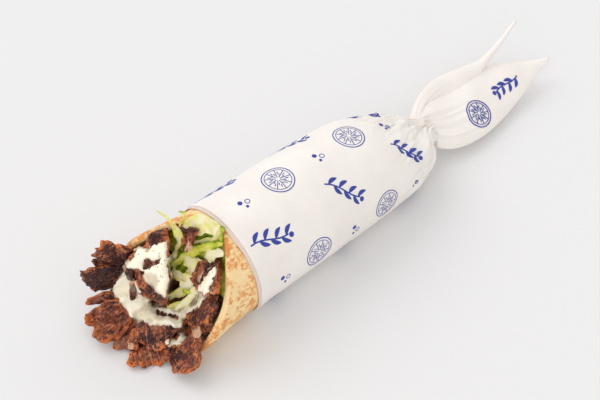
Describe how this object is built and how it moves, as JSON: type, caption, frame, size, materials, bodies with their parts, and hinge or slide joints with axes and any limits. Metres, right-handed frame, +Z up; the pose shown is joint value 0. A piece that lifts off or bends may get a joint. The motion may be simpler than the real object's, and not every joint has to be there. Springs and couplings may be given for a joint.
{
  "type": "gyro wrap",
  "caption": "Flatbread rolled round grilled meat slices, lettuce and cream sauce, open at one end, in a printed paper sleeve twisted into a two-eared tail at the other.",
  "frame": {"origin": "on the flat strip under the sleeve that the wrap rests on, 92 mm behind the paper's rim", "axes": "+X along the roll from its open mouth to the paper's twisted tail, +Z up, +Y to the side away from the roll's outer flap"},
  "size_m": [0.3442, 0.0771, 0.0629],
  "materials": {
    "greaseproof_paper": "matte",
    "toasted_flatbread": "matte",
    "grilled_meat": "satin",
    "lettuce": "satin",
    "sauce": "gloss"
  },
  "bodies": {
    "root": {"paper": "greaseproof_paper", "flatbread": "toasted_flatbread", "meat_core": "grilled_meat", "lettuce": "lettuce", "meat_back_top": "grilled_meat", "meat_back": "grilled_meat", "meat_left_top": "grilled_meat", "meat_left": "grilled_meat", "meat_left_low": "grilled_meat", "meat_low": "grilled_meat", "meat_floor": "grilled_meat", "meat_front_low": "grilled_meat", "meat_front": "grilled_meat", "meat_front_top": "grilled_meat", "meat_centre": "grilled_meat", "meat_fold": "grilled_meat", "sauce_pool": "sauce"}
  },
  "joints": []
}
